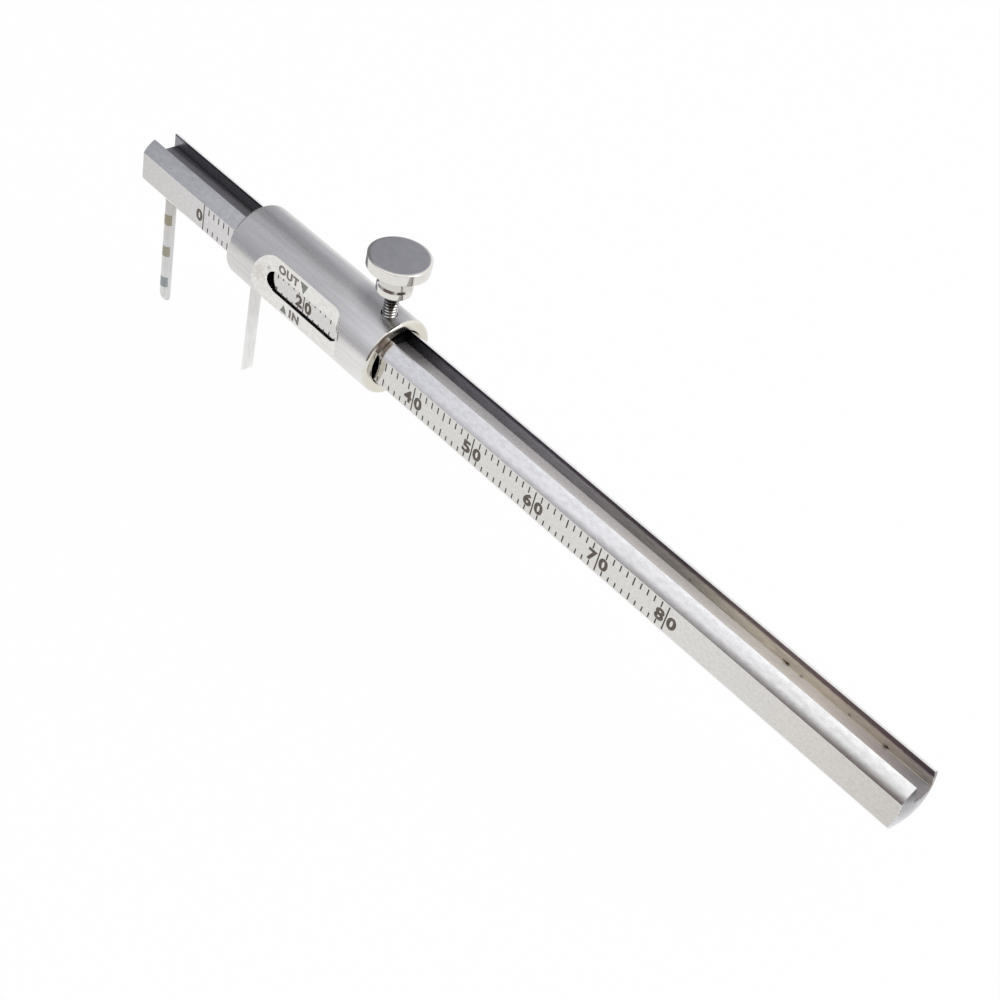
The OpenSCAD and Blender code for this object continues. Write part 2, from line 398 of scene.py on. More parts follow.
slotDirt = [
    {"place": (x * mm, 1.6 * mm, z * mm), "size": (long * mm, 0.3 * mm, tall * mm), "grain": (0.12 * mm,) * 3,
     "ragged": 0.5, "strength": strength, "colour": (0.075, 0.042, 0.025)}
    for x, z, long, tall, strength in (
        (105.2, 1.62, 0.6, 0.26, 0.9), (107.2, 1.5, 0.25, 0.15, 0.5), (113.4, 1.75, 0.25, 0.17, 0.6),
        (118.1, 1.65, 0.42, 0.32, 0.9), (91.7, 1.75, 0.25, 0.18, 0.7))
]
barLook = {
    "sides": 144,
    "flatDepth": 0.5 * mm,
    "slotWidth": 3.2 * mm,
    "slotDepth": 2.3 * mm,
    "edgeBreak": 0.045 * mm,
    "breakAngle": 25,
    "breakSteps": 4,
    "smoothAngle": 40,
    "overrun": 1.0 * mm,
    "crown": 0.7 * mm,
    "crownFlat": 1.2 * mm,
    "crownSteps": 16,
    "floorFacing": 0.7,
    "round": {"colour": (0.815, 0.815, 0.81), "mottle": 0.13, "cloud": (0.9 * mm, 0.4 * mm, 0.4 * mm),
              "grain": (0.3 * mm, 0.1 * mm, 0.1 * mm), "fleck": 0.1,
              "roughness": (0.12, 0.2), "depth": 0.0011 * mm},
    "flat": {"colour": (0.745, 0.73, 0.70), "mottle": 0.1, "cloud": (0.4 * mm, 0.4 * mm, 0.3 * mm),
             "grain": (0.13 * mm, 0.1 * mm, 0.13 * mm), "fleck": 0.06,
             "roughness": (0.08, 0.13), "depth": 0.0001 * mm,
             # painted light and shade: the flat is darker and bluer at the head, lightest near 95 mm and
             # darker again at the tail
             "shades": [{"way": (1, 0, 0), "stops": [
                 (0, (0.84, 0.835, 0.86)), (16 * mm, (0.92, 0.92, 0.96)), (55 * mm, (0.98, 0.98, 0.98)),
                 (95 * mm, (1.0, 1.0, 1.0)), (112 * mm, (0.94, 0.93, 0.93)),
                 (123 * mm, (0.86, 0.84, 0.84))]}]},
    "floor": {"metal": 0.0, "colour": (0.96, 0.94, 0.91), "mottle": 0.06,
              "cloud": (2.0 * mm, 0.25 * mm, 0.25 * mm), "grain": (0.5 * mm, 0.08 * mm, 0.08 * mm),
              "fleck": 0.1, "roughness": (0.48, 0.56), "depth": 0.002 * mm, "dirtAndShadeSpots": slotDirt,
              # painted light and shade: the floor is dark at the head and under the sleeve's tail end, darker
              # at the bar's tail, lighter towards the far wall, and dark beside the far wall at the head
              "shades": [
                  {"way": (1, 0, 0), "stops": [
                      (0, (0.22, 0.22, 0.26)), (46 * mm, (0.20, 0.20, 0.21)), (49 * mm, (0.3, 0.3, 0.32)),
                      (52 * mm, (0.74, 0.74, 0.78)), (75 * mm, (0.94, 0.94, 0.96)),
                      (100 * mm, (1.0, 0.98, 0.94)), (110 * mm, (0.97, 0.93, 0.88)),
                      (117 * mm, (0.66, 0.61, 0.60)), (123 * mm, (0.36, 0.35, 0.37))]},
                  {"way": (0, 1, 0), "stops": [
                      (0.9 * mm, (0.84, 0.83, 0.83)), (1.3 * mm, (1.0, 1.0, 1.0))]},
                  {"way": (-0.02, 1, 0), "stops": [
                      (0.85 * mm, (1.0, 1.0, 1.0)), (1.2 * mm, (0.4, 0.4, 0.4))]}]},
    "wall": {"colour": (0.95, 0.94, 0.94), "mottle": 0.2, "cloud": (1.6 * mm, 0.3 * mm, 0.22 * mm),
             "grain": (0.5 * mm, 0.08 * mm, 0.08 * mm), "fleck": 0.12,
             "roughness": (0.18, 0.26), "depth": 0.002 * mm, "dirtAndShadeSpots": slotDirt,
             # painted shade and reflection: the far wall is dark, darkest beside the sleeve's tail end and
             # light from 100 mm to the tail, with a ragged dark band painted along its top under the lip
             "shades": [
                 {"way": (1, 0, 0), "stops": [
                     (0, (0.34, 0.34, 0.37)), (16 * mm, (0.32, 0.32, 0.34)), (46 * mm, (0.12, 0.12, 0.13)),
                     (52 * mm, (0.25, 0.25, 0.28)), (70 * mm, (0.41, 0.41, 0.44)),
                     (90 * mm, (0.43, 0.42, 0.40)), (100 * mm, (0.86, 0.83, 0.73)),
                     (112 * mm, (0.92, 0.88, 0.78)), (124 * mm, (1.0, 0.95, 0.86))]},
                 {"way": (0.004, 0, 1), "ragged": (0.7 * mm, 0.2 * mm, 0.2 * mm), "reach": 0.06 * mm,
                  "stops": [
                      (3.05 * mm, (1.0, 1.0, 1.0)), (3.2 * mm, (0.46, 0.42, 0.47)),
                      (3.35 * mm, (0.25, 0.21, 0.26)), (3.9 * mm, (0.32, 0.27, 0.33))]}]},
    # painted highlight: a bright yellowish line where the floor meets the far wall, kept dark until about 100
    # mm
    "corner": {"metal": 0.0, "colour": (1.0, 0.95, 0.74), "mottle": 0.1,
               "cloud": (1.6 * mm, 0.3 * mm, 0.22 * mm), "grain": (0.5 * mm, 0.08 * mm, 0.08 * mm),
               "fleck": 0.12, "roughness": (0.4, 0.5), "depth": 0.002 * mm, "dirtAndShadeSpots": slotDirt,
               "shades": [{"way": (1, 0, 0), "stops": [
                   (0, (0.12, 0.12, 0.13)), (97 * mm, (0.25, 0.25, 0.27)), (106 * mm, (1.0, 1.0, 1.0))]}]},
    "end": {"colour": (0.82, 0.82, 0.84), "mottle": 0.1, "cloud": (0.9 * mm, 0.9 * mm, 0.9 * mm),
            "grain": (0.08 * mm, 0.08 * mm, 0.5 * mm), "fleck": 0.08,
            "roughness": (0.2, 0.3), "depth": 0.0008 * mm,
            # painted shade and reflection: the end faces are dark at the top, light at the bottom and darker
            # towards the far side
            "shades": [
                {"way": (0, -0.25, -1), "stops": [
                    (-2.6 * mm, (0.13, 0.125, 0.13)), (-1.5 * mm, (0.37, 0.36, 0.37)),
                    (-1 * mm, (0.55, 0.54, 0.55)), (0, (0.60, 0.59, 0.60)),
                    (0.6 * mm, (0.71, 0.71, 0.72)), (2.6 * mm, (0.95, 0.95, 0.95))]},
                {"way": (0, 1, 0), "stops": [
                    (1.9 * mm, (1.0, 1.0, 1.0)), (3.4 * mm, (0.45, 0.44, 0.45))]}]},
}


def barOutline(look, radius, length):  # from the head to the flat in the middle of the crowned tail
    flat, steps = look["crownFlat"], look["crownSteps"]
    rise = look["crown"] / (radius ** 2 - flat ** 2)
    rings = [radius + (flat - radius) * step / steps for step in range(steps + 1)]
    return [(radius, 0)] + [(ring, length - rise * (ring ** 2 - flat ** 2)) for ring in rings]


def buildBar(look):
    low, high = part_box("beam")
    radius = -low.z
    flatY = look["flatDepth"] - radius
    floorZ = radius - look["slotDepth"]
    wallY = look["slotWidth"] / 2
    halfStep = math.pi / look["sides"]  # keeps the round's points clear of the edges of the flat and the slot
    bar = turnOutline("barBody", look["sides"], barOutline(look, radius, high.x - low.x))
    lie = Matrix.Rotation(math.pi / 2, 4, "Y") @ Matrix.Rotation(halfStep, 4, "Z")
    bar.matrix_world = Matrix.Translation((low.x, 0, 0)) @ lie
    settle(bar)
    sliceOff(bar, (0, flatY, 0), (0, -1, 0))
    over = look["overrun"]
    slotEnd = (high.x + over, wallY, radius + over)
    cutAway(bar, addBlock("slotCutter", (low.x - over, -wallY, floorZ), slotEnd))
    pickFaces(bar, lambda face: abs(face.normal.x) > mostly)
    bpy.ops.mesh.vert_connect_concave()  # splits the end faces where the slot notches them
    bpy.ops.object.mode_set(mode="OBJECT")
    breakEdges(bar, look)
    smoothOver(bar, look["smoothAngle"])
    near = look["edgeBreak"] / 2

    def choose(face):
        middle, facing = face.center, face.normal
        if abs(facing.x) > mostly:
            return "end"
        if abs(middle.y) < wallY + near and middle.z > floorZ - near:
            # the fillet in the corner takes the painted highlight
            atCorner = middle.y > wallY - 2 * near and middle.z < floorZ + 2 * near
            if atCorner and barely < facing.z < 1 - barely:
                return "corner"
            if facing.z > look["floorFacing"]:
                return "floor"
            return "wall" if middle.y > 0 else "round"
        if middle.y < flatY + near and facing.y < -square:
            return "flat"
        return "round"

    paintSteel(bar, "bar", look, ("round", "flat", "floor", "wall", "corner", "end"), choose)
    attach(bar, "bar")
    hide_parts("beam")


buildBar(barLook)
print("bar done")


# jaws: two thin pins whose tips are cut on a slant, with their points towards each other

jawLook = {
    "sides": 64,
    "tipAngle": 45,
    "edgeBreak": 0.06 * mm,
    "breakAngle": 40,
    "breakSteps": 3,
    "smoothAngle": 35,
    "sleeveBury": 0.7 * mm,
    "steel": {"colour": (0.94, 0.935, 0.925), "mottle": 0.1, "cloud": (0.4 * mm, 0.4 * mm, 2.0 * mm),
              "grain": (0.08 * mm, 0.08 * mm, 0.5 * mm), "fleck": 0.05,
              "roughness": (0.16, 0.26), "depth": 0.0006 * mm},
    # painted shade: both pins are darker towards the bar, the fixed pin darker than the moving one
    "fixedPaintedShade": [(4 * mm, (0.54, 0.51, 0.49)), (7 * mm, (0.635, 0.625, 0.615)),
                   (12 * mm, (0.70, 0.70, 0.71)), (20 * mm, (0.76, 0.76, 0.76))],
    "movingPaintedShade": [(4 * mm, (0.62, 0.60, 0.57)), (7 * mm, (0.74, 0.73, 0.72)),
                    (12 * mm, (0.84, 0.84, 0.845)), (20 * mm, (0.96, 0.96, 0.955))],
}


def buildJaw(name, node, top, lean, tones, look):  # lean is +1 where the longest side of the pin faces +X
    low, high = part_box(node)
    middleX = (low.x + high.x) / 2
    radius = (high.x - low.x) / 2
    jaw = addRound(name, look["sides"], radius, (middleX, 0, low.z), (middleX, 0, top))
    slant = math.radians(look["tipAngle"])
    sliceOff(jaw, (middleX + lean * radius, 0, low.z), (-lean * math.sin(slant), 0, -math.cos(slant)))
    breakEdges(jaw, look)
    smoothOver(jaw, look["smoothAngle"])
    # the pin's painted shade, darker towards the bar
    steel = dict(look["steel"], shades=[{"way": (0, 0, -1), "stops": look[tones]}])
    paintFaces(jaw, {"steel": brushedSteel(name + " steel", steel)}, lambda face: "steel")
    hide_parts(node)
    return jaw


fixedPin = buildJaw("fixedPin", "fixed_jaw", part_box("fixed_jaw")[1].z, 1, "fixedPaintedShade", jawLook)
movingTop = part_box("sleeve")[0].z + jawLook["sleeveBury"]
movingPin = buildJaw("movingPin", "moving_jaw", movingTop, -1, "movingPaintedShade", jawLook)
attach(fixedPin, "bar")
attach(movingPin, "slider")
print("jaws done")


# sleeve: a tube with a milled trough in front, which breaks into the bore as the reading window

sleeveLook = {
    "sides": 256,
    "boreRadius": 3.82 * mm,
    "endRound": 0.35 * mm,
    "roundSteps": 8,
    "boreChamfer": 0.15 * mm,
    "ringStep": 0.9 * mm,
    "windowHeight": 2.8 * mm,
    "cutterRadius": 3.5 * mm,
    "cutterSteps": 32,
    "troughRun": 10.5 * mm,
    "troughFromEnd": 13.2 * mm,
    "holeRadius": 0.99 * mm,
    "holeSides": 64,
    "edgeBreak": 0.025 * mm,
    "breakAngle": 20,
    "breakSteps": 2,
    "smoothAngle": 25,
    "overrun": 1.0 * mm,
    "lipHeight": 1.56 * mm,
    "lipReach": 1.25 * mm,
    "endFacing": 0.97,
    "troughFacing": 0.1,
    "roundFacing": 0.995,
    "roundTilt": 0.01,
    "roundSlack": 0.001,
    "zones": {"end": 0.999, "bore": 1.005, "rim": 0.99, "trough": 0.9},  # where each ends, as a share
    "outside": {"colour": (0.715, 0.705, 0.69), "mottle": 0.09, "cloud": (7 * mm, 0.45 * mm, 0.45 * mm),
                "grain": (0.25 * mm, 0.1 * mm, 0.1 * mm), "fleck": 0.09,
                "roughness": (0.24, 0.32), "depth": 0.0006 * mm,
                # painted light: the sleeve's outside gets lighter from 37 mm towards its tail end by the
                # screw
                "shades": [{"way": (1, 0, 0), "stops": [
                    (37 * mm, (1.0, 1.0, 1.0)), (45 * mm, (1.2, 1.2, 1.2))]}],
                # painted shadow: a soft dark spot round the screw's foot stands in for the knob's shadow and
                # dark reflection
                "dirtAndShadeSpots": [
                    {"place": (42.4 * mm, 1.0 * mm, 4.9 * mm), "size": (5.2 * mm, 3.8 * mm, 2.6 * mm),
                     "grain": (3 * mm,) * 3, "ragged": 0.1, "strength": 0.5, "colour": (0.17, 0.17, 0.175)}]},
    "trough": {"colour": (0.83, 0.82, 0.795), "mottle": 0.1, "cloud": (0.6 * mm, 0.6 * mm, 0.6 * mm),
               "grain": (0.09 * mm, 0.09 * mm, 0.3 * mm), "fleck": 0.05,
               "roughness": (0.16, 0.24), "depth": 0.0002 * mm,
               "dirtAndShadeSpots": [
                   {"place": (25.4 * mm, -3.9 * mm, 0.5 * mm), "size": (1.3 * mm, 1.5 * mm, 1.6 * mm),
                    "grain": (0.35 * mm,) * 3, "ragged": 0.5, "strength": 0.4, "colour": (0.50, 0.45, 0.37)},
                   {"place": (26.7 * mm, -3.6 * mm, 1.5 * mm), "size": (0.35 * mm, 0.5 * mm, 0.4 * mm),
                    "grain": (0.15 * mm,) * 3, "ragged": 0.5, "strength": 0.6,
                    "colour": (0.30, 0.25, 0.20)}]},
    "end": {"colour": (0.73, 0.695, 0.62), "mottle": 0.04, "cloud": (1 * mm, 1 * mm, 1 * mm),
            "grain": (0.1 * mm, 0.1 * mm, 0.1 * mm), "fleck": 0.03,
            "roughness": (0.15, 0.2), "depth": 0.0002 * mm},
    "rounding": {"colour": (0.74, 0.72, 0.67), "mottle": 0.04, "cloud": (1 * mm, 1 * mm, 1 * mm),
                 "grain": (0.1 * mm, 0.1 * mm, 0.1 * mm), "fleck": 0.03,
                 "roughness": (0.05, 0.08), "depth": 0.0001 * mm},
    # painted shade: the bore, and the screw hole's wall and mouth, are painted near-black
    "bore": {"colour": (0.1, 0.1, 0.105), "mottle": 0.2, "cloud": (1 * mm, 1 * mm, 1 * mm),
             "grain": (0.1 * mm, 0.3 * mm, 0.3 * mm), "fleck": 0.1,
             "roughness": (0.4, 0.5), "depth": 0.001 * mm},
}


def sleeveOutline(look, radius, length):  # once round the wall, from the bore's near end
    bore, chamfer, rounding = look["boreRadius"], look["boreChamfer"], look["endRound"]
    corner = quarterRound(rounding, rounding, look["roundSteps"])
    outer, inner = length - 2 * rounding, length - 2 * chamfer
    rings = round(outer / look["ringStep"])
    outline = [(bore + chamfer, 0)]
    outline += [(radius - inset, rounding - rise) for inset, rise in reversed(corner)]
    outline += [(radius, rounding + outer * ring / rings) for ring in range(1, rings)]
    outline += [(radius - inset, length - rounding + rise) for inset, rise in corner]
    outline += [(bore + chamfer, length), (bore, length - chamfer)]
    outline += [(bore, length - chamfer - inner * ring / rings) for ring in range(1, rings + 1)]
    return outline


def troughCutter(look, middleX, floorY, radius):
    half = look["troughRun"] / 2 + look["cutterRadius"]
    back = floorY - 2 * look["cutterRadius"]
    cutter = addBlock("troughCutter", (middleX - half, back, -radius), (middleX + half, floorY, radius))
    pickEdges(cutter, lambda a, b: abs(a.z - b.z) > radius)
    bpy.ops.mesh.bevel(offset=look["cutterRadius"], segments=look["cutterSteps"], affect="EDGES")
    bpy.ops.mesh.remove_doubles(threshold=weldReach)
    bpy.ops.object.mode_set(mode="OBJECT")
    return cutter


def lipCutter(look, middleX, floorY):  # blunts the knife edge under the window
    half = look["troughRun"] / 2 + look["lipReach"]
    low = (middleX - half, floorY - look["edgeBreak"], -look["lipHeight"])
    cutter = addBlock("lipCutter", low, (middleX + half, floorY + look["lipReach"], 0))
    pickEdges(cutter, lambda a, b: abs(a.y - b.y) > look["lipReach"] / 2 and a.z < 0)
    bpy.ops.mesh.bevel(offset=look["lipReach"], segments=look["cutterSteps"], affect="EDGES")
    bpy.ops.object.mode_set(mode="OBJECT")
    return cutter


def evenRound(piece, radius, look):  # the round faces shade as if they were never cut
    mesh = piece.data
    normals = [corner.vector.copy() for corner in mesh.corner_normals]
    outside = radius * (1 - look["roundSlack"])
    inside = look["boreRadius"] * (1 + look["roundSlack"])
    for face in mesh.polygons:
        if abs(face.normal.x) > look["roundTilt"]:
            continue
        for corner in face.loop_indices:
            point = mesh.vertices[mesh.loops[corner].vertex_index].co
            outward = Vector((0, point.y, point.z)).normalized()
            facing = face.normal.dot(outward)
            if facing > look["roundFacing"] and point.yz.length > outside:
                normals[corner] = outward
            if facing < -look["roundFacing"] and point.yz.length < inside:
                normals[corner] = -outward
    mesh.normals_split_custom_set(normals)


def buildSleeve(look):
    low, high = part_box("sleeve")
    radius = high.z
    bore = look["boreRadius"]
    over = look["overrun"]
    screwX = (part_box("screw_stud")[0].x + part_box("screw_stud")[1].x) / 2
    troughX = low.x + look["troughFromEnd"]
    floorY = -math.sqrt(bore ** 2 - look["windowHeight"] ** 2 / 4)
    outline = sleeveOutline(look, radius, high.x - low.x)
    sleeve = turnOutline("sleeveBody", look["sides"], outline, hollow=True)
    sleeve.rotation_euler = (0, math.pi / 2, 0)
    sleeve.location = (low.x, 0, 0)
    settle(sleeve)
    cutAway(sleeve, troughCutter(look, troughX, floorY, radius + over))
    cutAway(sleeve, lipCutter(look, troughX, floorY))
    holeTop = (screwX, 0, radius + over)
    cutAway(sleeve, addRound("holeCutter", look["holeSides"], look["holeRadius"], (screwX, 0, 0), holeTop))
    breakEdges(sleeve, look)
    smoothOver(sleeve, look["smoothAngle"])
    evenRound(sleeve, radius, look)
    holeMouth = look["holeRadius"] + look["edgeBreak"]
    endZone = look["endRound"] * look["zones"]["end"]
    boreZone = bore * look["zones"]["bore"]
    rimZone = radius * look["zones"]["rim"]
    troughZone = radius * look["zones"]["trough"]

    def choose(face):
        middle, facing = face.center, face.normal
        outward = Vector((0, middle.y, middle.z)).normalized()
        # the bore and the screw hole take the painted near-black shade
        if middle.yz.length < boreZone and abs(facing.x) < partly and facing.dot(outward) < -mostly:
            return "bore"
        if middle.z > 0 and math.hypot(middle.x - screwX, middle.y) < holeMouth:
            return "bore"
        if min(middle.x - low.x, high.x - middle.x) < endZone:
            return "end" if abs(facing.x) > look["endFacing"] else "rounding"
        if abs(facing.z) < barely and facing.y < -look["troughFacing"] and -rimZone < middle.y < 0:
            return "trough"
        if middle.y < floorY + look["edgeBreak"] and middle.yz.length < troughZone:
            return "trough"
        return "outside"

    paintSteel(sleeve, "sleeve", look, ("outside", "trough", "end", "rounding", "bore"), choose)
    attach(sleeve, "slider")
    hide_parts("sleeve")
    return floorY


troughY = buildSleeve(sleeveLook)
print("sleeve done")


# thumb screw: a turned knob on a threaded shank

knobLook = {
    "sides": 128,
    "collarHeight": 0.96 * mm,
    "collarRadius": 2.18 * mm,
    "bevelWidth": 0.15 * mm,
    "bevelHeight": 0.3 * mm,
    "neckRadius": 1.6 * mm,
    "collarBreak": 0.18 * mm,
    "discHeight": 1.48 * mm,
    "rimWidth": 0.5 * mm,
    "rimHeight": 0.14 * mm,
    "rimSteps": 28,
    "edgeBreak": 0.05 * mm,
    "breakAngle": 13,
    "breakSteps": 8,
    "smoothAngle": 13,
    "topFacing": 0.995,
    "side": {"colour": (0.765, 0.745, 0.705), "mottle": 0.05, "cloud": (1 * mm, 1 * mm, 1 * mm),
             "grain": (0.4 * mm, 0.4 * mm, 0.06 * mm), "fleck": 0.03,
             "roughness": (0.05, 0.1), "depth": 0.0003 * mm},
    # painted shade: the neck under the disc is a darker copy of the side's finish
    "neck": {"colour": (0.66, 0.645, 0.615), "mottle": 0.05, "cloud": (1 * mm, 1 * mm, 1 * mm),
             "grain": (0.4 * mm, 0.4 * mm, 0.06 * mm), "fleck": 0.03,
             "roughness": (0.05, 0.1), "depth": 0.0003 * mm},
    # painted shade: the knob's undersides are painted dark
    "under": {"colour": (0.22, 0.21, 0.20), "mottle": 0.1, "cloud": (1 * mm, 1 * mm, 1 * mm),
              "grain": (0.2 * mm, 0.2 * mm, 0.2 * mm), "fleck": 0.1,
              "roughness": (0.3, 0.4), "depth": 0.0003 * mm},
    # painted shade: the top is painted a darker grey than the side
    "top": {"colour": (0.45, 0.452, 0.468), "mottle": 0.08, "cloud": (1 * mm, 1 * mm, 1 * mm),
            "grain": (0.09 * mm, 0.09 * mm, 0.09 * mm), "fleck": 0.08,
            "roughness": (0.34, 0.44), "depth": 0.001 * mm},
}


def buildKnob(look):
    low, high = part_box("thumb_knob")
    discRadius = (high.x - low.x) / 2
    discZ = high.z - look["discHeight"]
    collarZ = low.z + look["collarHeight"]
    collar = look["collarRadius"]
    foot = look["collarBreak"]
    outline = [(collar - foot, low.z), (collar, low.z + foot), (collar, collarZ),
               (collar - look["bevelWidth"], collarZ + look["bevelHeight"]), (look["neckRadius"], discZ),
               (discRadius, discZ)]
    rim = quarterRound(look["rimWidth"], look["rimHeight"], look["rimSteps"])
    outline += [(discRadius - inset, high.z - look["rimHeight"] + rise) for inset, rise in rim]
    knob = turnOutline("knobTurned", look["sides"], outline)
    knob.location = ((low.x + high.x) / 2, 0, 0)
    settle(knob)
    breakEdges(knob, look)
    smoothOver(knob, look["smoothAngle"])

    def choose(face):
        # the undersides, and the neck under the disc, take painted shade
        if face.normal.z < -mostly:
            return "under"
        if collarZ < face.center.z < discZ:
            return "neck"
        return "top" if face.normal.z > look["topFacing"] else "side"

    paintSteel(knob, "knob", look, ("side", "neck", "under", "top"), choose)
    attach(knob, "screw")
    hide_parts("thumb_knob")


threadLook = {
    "pitch": 0.4 * mm,
    "crestRadius": 0.9 * mm,
    "depth": 0.245 * mm,
    "steps": 48,
    "spareTurns": 2,
    "weldReach": 0.001 * mm,
    "cutReach": 0.01 * mm,
    "smoothAngle": 30,
    "tipRadius": 0.6 * mm,
    "tipLength": 0.55 * mm,
    "steel": {"colour": (0.74, 0.73, 0.71), "mottle": 0.2, "cloud": (0.3 * mm, 0.3 * mm, 0.3 * mm),
              "grain": (0.1 * mm, 0.1 * mm, 0.05 * mm), "fleck": 0.1,
              "roughness": (0.1, 0.18), "depth": 0.0003 * mm},
    "anyHeight": 1000.0,  # a size so large that height leaves the tone alone
    # painted shade in the thread's roots
    "darkShare": 1 / 3,
    "rootTone": (0.07, 0.065, 0.06),
    "crestTone": (1.0, 1.0, 1.0),
}


def threadFinish(look, axisX):  # painted shade: darker towards the bottom of the thread
    finish = brushedSteel("thread steel", look["steel"])
    tree = finish.node_tree
    base = tree.nodes["Principled BSDF"].inputs["Base Color"]
    crest = look["crestRadius"]
    reach = distanceFrom(tree, (crest, crest, look["anyHeight"]), (axisX, 0, 0))
    root = 1 - look["depth"] / crest
    darkEnd = root + (1 - root) * look["darkShare"]
    tones = [(root, look["rootTone"]), (darkEnd, look["rootTone"]), (1.0, look["crestTone"])]
    tree.links.new(tinted(tree, base.links[0].from_socket, ramp(tree, reach, tones)), base)
    return finish


def buildThread(look):
    low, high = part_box("screw_stud")
    axisX = (low.x + high.x) / 2
    pitch = look["pitch"]
    bottom = low.z + look["tipLength"]
    turns = math.ceil((high.z - bottom) / pitch) + look["spareTurns"]
    bpy.ops.object.select_all(action="DESELECT")
    bpy.ops.mesh.primitive_circle_add(  # three of its corners become the crest and the roots beside it
        vertices=4, radius=pitch / 2, location=(axisX, 0, bottom - pitch), rotation=(math.pi / 2, 0, 0))
    thread = nameNew("studThread")
    bpy.ops.object.transform_apply(location=False, rotation=True, scale=False)
    pickPoints(thread, lambda point: point.x < -pitch / 4)
    bpy.ops.mesh.delete(type="VERT")
    bpy.ops.mesh.select_all(action="SELECT")
    bpy.ops.transform.resize(value=(look["depth"] / (pitch / 2), 1, 1), center_override=(axisX, 0, 0))
    bpy.ops.transform.translate(value=(look["crestRadius"] - look["depth"], 0, 0))
    bpy.ops.object.mode_set(mode="OBJECT")
    turn = thread.modifiers.new("thread", "SCREW")
    turn.axis = "Z"
    turn.screw_offset = pitch
    turn.angle = 2 * math.pi
    turn.iterations = turns
    turn.steps = look["steps"]
    turn.render_steps = look["steps"]
    turn.use_merge_vertices = True
    turn.merge_threshold = look["weldReach"]
    bpy.ops.object.modifier_apply(modifier=turn.name)
    settle(thread)
    closeUp(thread, look["weldReach"])
    sliceOff(thread, (axisX, 0, high.z), (0, 0, 1))
    sliceOff(thread, (axisX, 0, bottom), (0, 0, -1))
    pickFaces(thread, lambda face: face.normal.z < -square and abs(face.center.z - bottom) < look["cutReach"])
    inset = look["crestRadius"] - look["depth"] - look["tipRadius"]
    bpy.ops.mesh.inset(thickness=inset, depth=0)
    bpy.ops.mesh.extrude_region_move(TRANSFORM_OT_translate={"value": (0, 0, low.z - bottom)})
    bpy.ops.object.mode_set(mode="OBJECT")
    smoothOver(thread, look["smoothAngle"])
    paintFaces(thread, {"steel": threadFinish(look, axisX)}, lambda face: "steel")
    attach(thread, "screw")
    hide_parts("screw_stud")


buildKnob(knobLook)
buildThread(threadLook)
print("thumb screw done")


# key and shoe keep their CAD shape and get their finish here; their dark colours are painted shade for the
# inside of the sleeve

innerLook = {
    "guide_key": {"colour": (0.30, 0.30, 0.31), "mottle": 0.15, "cloud": (1 * mm, 1 * mm, 1 * mm),
                  "grain": (0.8 * mm, 0.06 * mm, 0.06 * mm), "fleck": 0.1,
                  "roughness": (0.3, 0.45), "depth": 0.002 * mm},
    "clamp_shoe": {"colour": (0.10, 0.10, 0.105), "mottle": 0.3, "cloud": (0.6 * mm, 0.6 * mm, 0.6 * mm),
                   "grain": (0.6 * mm, 0.06 * mm, 0.06 * mm), "fleck": 0.1,
                   "roughness": (0.35, 0.5), "depth": 0.002 * mm},
}
for node, look in innerLook.items():
    piece = frame["nodes"][node]
    paintFaces(piece, {"finish": brushedSteel(node + " finish", look)}, lambda face: "finish")
print("inner pieces done")


# marks: scale, figures, the words and pointers in the trough, and the bands on the fixed pin

markLook = {
    "zeroX": 13.0 * mm,
    "topMillimetre": 80,
    "thickness": 0.008 * mm,
    "lineWidth": 0.17 * mm,
    "upper": (1.70 * mm, 0.80 * mm, 0.50 * mm),
    "lower": (-1.74 * mm, -1.04 * mm, -0.74 * mm),
    "figureHeight": 1.7 * mm,
    "figureWidth": 1.25 * mm,
    "oneWidth": 0.66 * mm,
    "figureOff": 0.85 * mm,
    "figureZ": -0.14 * mm,
    "bold": 0.045,
    "spacing": 1.0,
    "curveSteps": 6,
    "metal": 0.25,
    "roughness": 0.55,
    "line": [(0.4, (0.060, 0.046, 0.040)), (0.65, (0.095, 0.075, 0.064))],
    "figure": [(0.38, (0.115, 0.092, 0.074)), (0.65, (0.21, 0.175, 0.145))],
    "word": [(0.38, (0.26, 0.23, 0.21)), (0.65, (0.36, 0.325, 0.30))],
    "pointer": [(0.4, (0.25, 0.28, 0.26)), (0.65, (0.35, 0.38, 0.36))],
    "cloud": (0.3 * mm, 0.3 * mm, 0.3 * mm),
}


def markFinish(name, look):
    finish, tree, shader = newFinish(name)
    shader.inputs["Metallic"].default_value = look["metal"]
    shader.inputs["Roughness"].default_value = look["roughness"]
    return finish, tree, shader.inputs["Base Color"]


def laserFinish(name, tones, look):
    finish, tree, base = markFinish(name, look)
    tree.links.new(ramp(tree, grainNoise(tree, look["cloud"]), tones), base)
    return finish


def dress(piece, finish, body):
    paintFaces(piece, {"mark": finish}, lambda face: "mark")
    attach(piece, body)


def buildScaleLines(look, finish):
    radius = -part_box("beam")[0].z
    flatY = barLook["flatDepth"] - radius
    edgeZ = math.sqrt(radius ** 2 - flatY ** 2)
    front = flatY - look["thickness"]
    half = look["lineWidth"] / 2
    top = look["topMillimetre"]
    zeroX = look["zeroX"]

    def row(startZ, endZ, step, last):  # one line for each step, from 0 to the last millimetre
        low, high = sorted((startZ, endZ))
        line = addBlock("line", (zeroX - half, front, low), (zeroX + half, flatY, high))
        repeatAlong(line, last // step + 1, (step * mm, 0, 0))
        return line

    upTop, upShort, upLong = look["upper"]
    lowTop, lowShort, lowLong = look["lower"]
    rows = [
        row(upTop, upShort, 1, top),
        row(lowTop, lowShort, 1, top),
        row(upShort, upLong, 5, top),
        row(lowShort, lowLong, 5, top),
        row(upLong, lowLong, 10, top),
        row(edgeZ, upTop, 10, 0),
        row(lowTop, -edgeZ, 10, 0),
    ]
    lines = joinUp("scaleLines", rows)
    dress(lines, finish, "bar")
    return flatY


